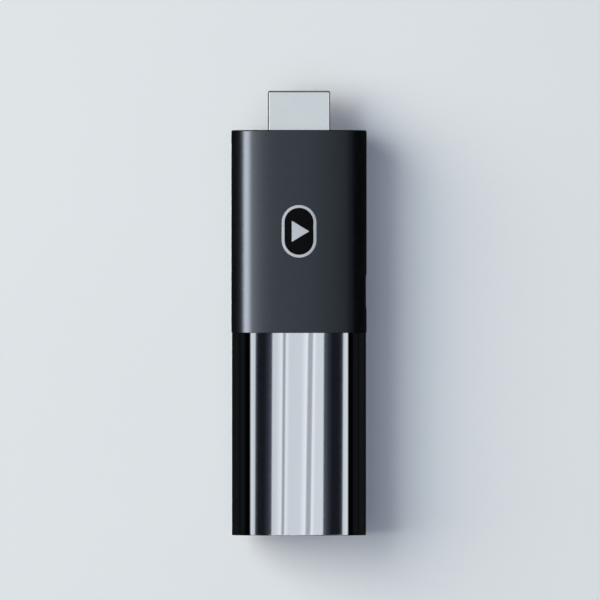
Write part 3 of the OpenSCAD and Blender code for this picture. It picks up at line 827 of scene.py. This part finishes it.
def make_floor():
    """A plain pale floor that the glossy pieces don't mirror."""
    bm = bmesh.new()
    bmesh.ops.create_grid(bm, x_segments=12, y_segments=12, size=FLOOR_HALF)
    made = finish_mesh(bm, "floor")
    g = Graph("floor")
    cloud = g.noise(60, detail=3)
    g.link(g.blend(g.between(cloud, 0, 1), *FLOOR_TONES), g.shader.inputs["Base Color"])
    g.set(Roughness=0.9, Specular_IOR_Level=0.0)
    made.data.materials.append(g.material)
    made.visible_glossy = False
    made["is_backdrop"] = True
    return made


camera = make_camera()
floor = make_floor()

# ---- Groups of pieces that share lights --------------------------------------


def group(name, objects):
    """A collection that lights can be linked to."""
    made = bpy.data.collections.new(name)
    for obj in objects:
        made.objects.link(obj)
    return made


end_plate = frame["nodes"]["plug_end_plate"]
casing = (front, rear, tail)
inner_pieces = [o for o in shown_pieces() if o not in (*casing, end_plate)]
shells = [plug_shell, port_shell]

GLOSSY = group("glossy_pieces", [rear, tail])
MATTE = group("matte_pieces", [front, end_plate])
SHELLS = group("plated_shells", shells)
BRIGHT = group("metal_and_inner_pieces", inner_pieces)
LIT = group("floor_and_plain_pieces", [floor, end_plate] + [o for o in inner_pieces if o not in shells])
GROUND = group("floor_only", [floor])

# The floor gets no light by way of the casing, whose own lights are far brighter than the floor's.
for piece in casing:
    piece.visible_diffuse = False

# ---- Lights ------------------------------------------------------------------

COOL = (0.955, 1.03, 1.125)
HERE = (0, 0, 0)


def area_light(name, radiance, size, place, target, receivers, colour=COOL):
    """A soft panel of a given brightness that lights only the given pieces."""
    data = bpy.data.lights.new(name, "AREA")
    data.shape = "RECTANGLE"
    data.size, data.size_y = size
    data.energy = radiance * math.pi * size[0] * size[1]
    data.color = colour
    light = bpy.data.objects.new(name, data)
    light.location = place
    light.rotation_euler = (Vector(target) - Vector(place)).to_track_quat("-Z", "Y").to_euler()
    light.visible_camera = False
    light.light_linking.receiver_collection = receivers
    bpy.context.scene.collection.objects.link(light)
    return light


def panel_place(tree):
    """The place on a panel, from 0 to 1 across and along it."""
    split = tree.nodes.new("ShaderNodeSeparateXYZ")
    tree.links.new(tree.nodes.new("ShaderNodeNewGeometry").outputs["Parametric"], split.inputs["Vector"])
    return split


def graded(tree, stops):
    """A ramp node with the given (place, level) stops; its faint parts are bluer."""
    faint, blue = 0.12, (0.88, 1.0, 1.25)
    ramp = tree.nodes.new("ShaderNodeValToRGB")
    elements = ramp.color_ramp.elements
    elements.remove(elements[1])
    for i, (place, level) in enumerate(sorted(stops)):
        stop = elements[0] if i == 0 else elements.new(place)
        stop.position = place
        stop.color = (*[level * c for c in (blue if level < faint else (1, 1, 1))], 1)
    return ramp


def mixed(tree, share, first, second, blend="MIX"):
    """The colour of a mix node between two colours or sockets."""
    mix = tree.nodes.new("ShaderNodeMix")
    mix.data_type = "RGBA"
    mix.blend_type = blend
    if isinstance(share, bpy.types.NodeSocket):
        tree.links.new(share, mix.inputs[0])
    else:
        mix.inputs[0].default_value = share
    colours = [s for s in mix.inputs if s.type == "RGBA"]
    for socket, value in zip(colours, (first, second)):
        if isinstance(value, bpy.types.NodeSocket):
            tree.links.new(value, socket)
        else:
            socket.default_value = (*value, 1)
    return next(s for s in mix.outputs if s.type == "RGBA")


def shade_panel(light, axis, stops):
    """Varies a panel's brightness over its width (X) or length (Y)."""
    light.data.use_nodes = True
    tree = light.data.node_tree
    ramp = graded(tree, stops)
    tree.links.new(panel_place(tree).outputs[axis], ramp.inputs["Fac"])
    tree.links.new(ramp.outputs["Color"], tree.nodes["Emission"].inputs["Color"])


# The ceiling over the glossy half, described by where its reflection shows across the stick, in mm.
CEILING_Z = 0.5
CEILING = (1.1, 4.0)
CEILING_RADIANCE = 11.4
CEILING_END = 12.6
# Lamps: start, end, and level at either edge.
LAMPS = [(-10.80, -9.70, 1.12, 1.02), (-5.97, 5.55, 1.0, 1.08), (9.84, 10.88, 1.02, 1.18)]
LAMP_EDGE = 0.15
LAMP_SLANT = 0.12
# Spill light between the lamps: place and level.
SPILL = [(-9.3, 0.055), (-9.0, 0.016), (-7.7, 0.014), (-6.8, 0.05), (-6.3, 0.11),
         (5.95, 0.13), (6.6, 0.05), (7.5, 0.014), (8.8, 0.015), (9.3, 0.03)]
SPILL_AT_LAMP = 0.09
SPILL_REACH = 10
# Seams in the middle lamp: middle, width, level and slant, between brighter rims.
SEAMS = [(-3.30, 0.40, 0.56, 0.20), (2.52, 0.84, 0.60, 0.32)]
SEAM_RIM = 1.32
SLANT_PIVOT = -0.012


def ceiling_place(across):
    """Where on the ceiling the camera sees the reflection at a place across the glossy half."""
    reach = abs(across)
    surface_z = crown_height(min(reach, SIDE_X)) * MM
    if reach < CROWN_R * math.cos(TANGENT):
        tilt = math.asin(reach / (CROWN_R - REAR_STEP))
    else:
        tilt = math.asin(min(1, (reach - SIDE_X) / (SIDE_R - REAR_STEP)))
    leaving = 2 * tilt + math.atan(reach * MM / (camera.location.z - surface_z))
    x = math.copysign(reach * MM + (CEILING_Z - surface_z) * math.tan(leaving), across)
    return 0.5 + x / CEILING[0]


def lamp_stops():
    """The lamps and the spill light between them, as a ramp over the ceiling."""
    stops = [(-CEILING_END, 0.0), (CEILING_END, 0.0)] + SPILL
    for start, end, first, second in LAMPS:
        before, after = [SPILL_AT_LAMP if abs(place) < SPILL_REACH else 0.0 for place in (start, end)]
        stops += [(start - LAMP_EDGE, before), (start + LAMP_EDGE, first)]
        stops += [(end - LAMP_EDGE, second), (end + LAMP_EDGE, after)]
    return [(ceiling_place(across), level) for across, level in stops]


def seam_stops(middle, width, level):
    """One seam with its brighter rims, as a ramp that the lamps are multiplied by."""
    rim, before, after = 0.28, 1.5, 1.0
    low, high = middle - width / 2, middle + width / 2
    stops = [(low - before, 1.0), (low - rim, SEAM_RIM), (low, level)]
    stops += [(high, level), (high + rim, SEAM_RIM), (high + after, 1.0)]
    return [(ceiling_place(across), share / SEAM_RIM) for across, share in stops]


def slanted(tree, split, slant):
    """The place across the ceiling, drifting sideways along it."""
    drift = tree.nodes.new("ShaderNodeMath")
    drift.operation = "MULTIPLY_ADD"
    tree.links.new(split.outputs["Y"], drift.inputs[0])
    drift.inputs[1].default_value = -slant * CEILING[1] / CEILING[0]
    drift.inputs[2].default_value = slant * (CEILING[1] / 2 + SLANT_PIVOT) / CEILING[0]
    total = tree.nodes.new("ShaderNodeMath")
    total.operation = "ADD"
    tree.links.new(split.outputs["X"], total.inputs[0])
    tree.links.new(drift.outputs["Value"], total.inputs[1])
    return total.outputs["Value"]


def light_glossy_half():
    """One long panel over the stick: two narrow lamps, and a wide one with two darker seams."""
    radiance = CEILING_RADIANCE * SEAM_RIM ** len(SEAMS)
    light = area_light("ceiling", radiance, CEILING, (0, 0, CEILING_Z), HERE, GLOSSY)
    light.visible_diffuse = False
    light.data.use_nodes = True
    tree = light.data.node_tree
    split = panel_place(tree)
    lamps = graded(tree, lamp_stops())
    tree.links.new(slanted(tree, split, LAMP_SLANT), lamps.inputs["Fac"])
    shade = lamps.outputs["Color"]
    for middle, width, level, slant in SEAMS:
        seam = graded(tree, seam_stops(middle, width, level))
        tree.links.new(slanted(tree, split, slant), seam.inputs["Fac"])
        shade = mixed(tree, 1, shade, seam.outputs["Color"], "MULTIPLY")
    tree.links.new(shade, tree.nodes["Emission"].inputs["Color"])


# The matte half's lights: level along the side panel from its foot up, and across the one overhead.
EDGE_STOPS = [(0.0, 1.0), (0.4, 1.05), (0.62, 0.86), (0.86, 0.48), (1.0, 0.2)]
VEIL_STOPS = [(0.0, 0.1), (0.19, 0.2), (0.31, 0.45), (0.44, 0.98), (0.5, 1.05), (0.56, 0.9),
              (0.65, 0.54), (0.75, 0.3), (0.81, 0.18), (0.9, 0.22), (1.0, 0.3)]


def light_matte_half():
    """A bright panel low on the left and a wide dim one overhead, seen only as reflections."""
    edge = area_light("edge", 13.6, (0.9, 0.645), (-0.796, 0.0, 0.631), HERE, MATTE, (0.94, 1.05, 1.2))
    veil = area_light("veil", 0.95, (2.6, 2.4), (0, 0, 0.7), HERE, MATTE, (0.94, 1.14, 1.38))
    shade_panel(edge, "Y", EDGE_STOPS)
    shade_panel(veil, "X", VEIL_STOPS)
    for light in (edge, veil):
        light.visible_diffuse = False


def light_floor():
    """Three panels on the left, which cast the soft shadow, and an even sky that casts none."""
    panels = (
        ("key", 3.96, (2.3, 2.0), (-1.85, 0.6, 1.42), LIT, (0.915, 1.0, 0.985)),
        ("low_key", 1.54, (2.3, 1.4), (-2.3, 0.6, 1.0), GROUND, (1.57, 1.0, 0.53)),
        ("wash", 0.46, (3.6, 1.6), (-1.0, 0.0, 1.6), GROUND, (0.99, 1.0, 0.96)),
    )
    for name, radiance, size, place, receivers, colour in panels:
        panel = area_light(name, radiance, size, place, HERE, receivers, colour)
        # The floor's rays pass through the casing, and would find the panel behind it.
        panel.data.cycles.use_multiple_importance_sampling = False
    sky = area_light("sky", 0.46, (4.0, 4.0), (0, 0, 2.4), HERE, GROUND, (0.915, 1.0, 1.27))
    sky.light_linking.blocker_collection = GROUND


def light_metal():
    """A panel overhead for flat faces, and one on either side for the plug's rounded corners."""
    area_light("fill", 0.72, (0.5, 0.9), (0, 0, 0.8), HERE, BRIGHT, (0.98, 1.0, 1.06))
    for across, level in ((-0.64, 1.5), (0.64, 1.15)):
        area_light("glint", level, (0.6, 0.9), (across, 0, 0.8), (across, 0, 0), SHELLS, (1.0, 1.0, 1.0))


def light_horizon():
    """Dim upright panels on four sides, and low cards, for the metal and gloss to mirror."""
    distance, width, card_z, card_width = 1.5, 3.0, 0.0006, 0.6
    for i in range(4):
        a = math.pi / 2 * i
        for receivers, level, low, high in ((BRIGHT, 0.30, 0.26, 1.25), (GLOSSY, 0.10, 0.05, 0.85)):
            middle_z = (low + high) / 2
            place = (distance * math.cos(a), distance * math.sin(a), middle_z)
            panel = area_light("horizon", level, (width, high - low), place, (0, 0, middle_z), receivers)
            shade_panel(panel, "Y", [(0.0, 1.0), (0.7, 1.0), (1.0, 0.1)])
    for receivers, level in ((BRIGHT, 0.22), (GLOSSY, 0.07)):
        card = area_light("card", level, (card_width, card_width), (0, 0, card_z), (0, 0, 1), receivers)
        shade_panel(card, "X", [(0.0, 1.0), (0.44, 1.0), (0.47, 0.0), (0.53, 0.0), (0.56, 1.0)])


def light_world():
    """Pale where the camera sees it, and nearly dark elsewhere."""
    world = bpy.data.worlds.new("studio")
    world.use_nodes = True
    bpy.context.scene.world = world
    tree = world.node_tree
    path = tree.nodes.new("ShaderNodeLightPath")
    unseen = mixed(tree, path.outputs["Is Glossy Ray"], (0.02, 0.022, 0.024), (0.010, 0.012, 0.015))
    backdrop = mixed(tree, path.outputs["Is Camera Ray"], unseen, (0.70, 0.75, 0.775))
    tree.links.new(backdrop, tree.nodes["Background"].inputs["Color"])


light_glossy_half()
light_matte_half()
light_floor()
light_metal()
light_horizon()
light_world()
bpy.context.scene.view_settings.view_transform = "Standard"
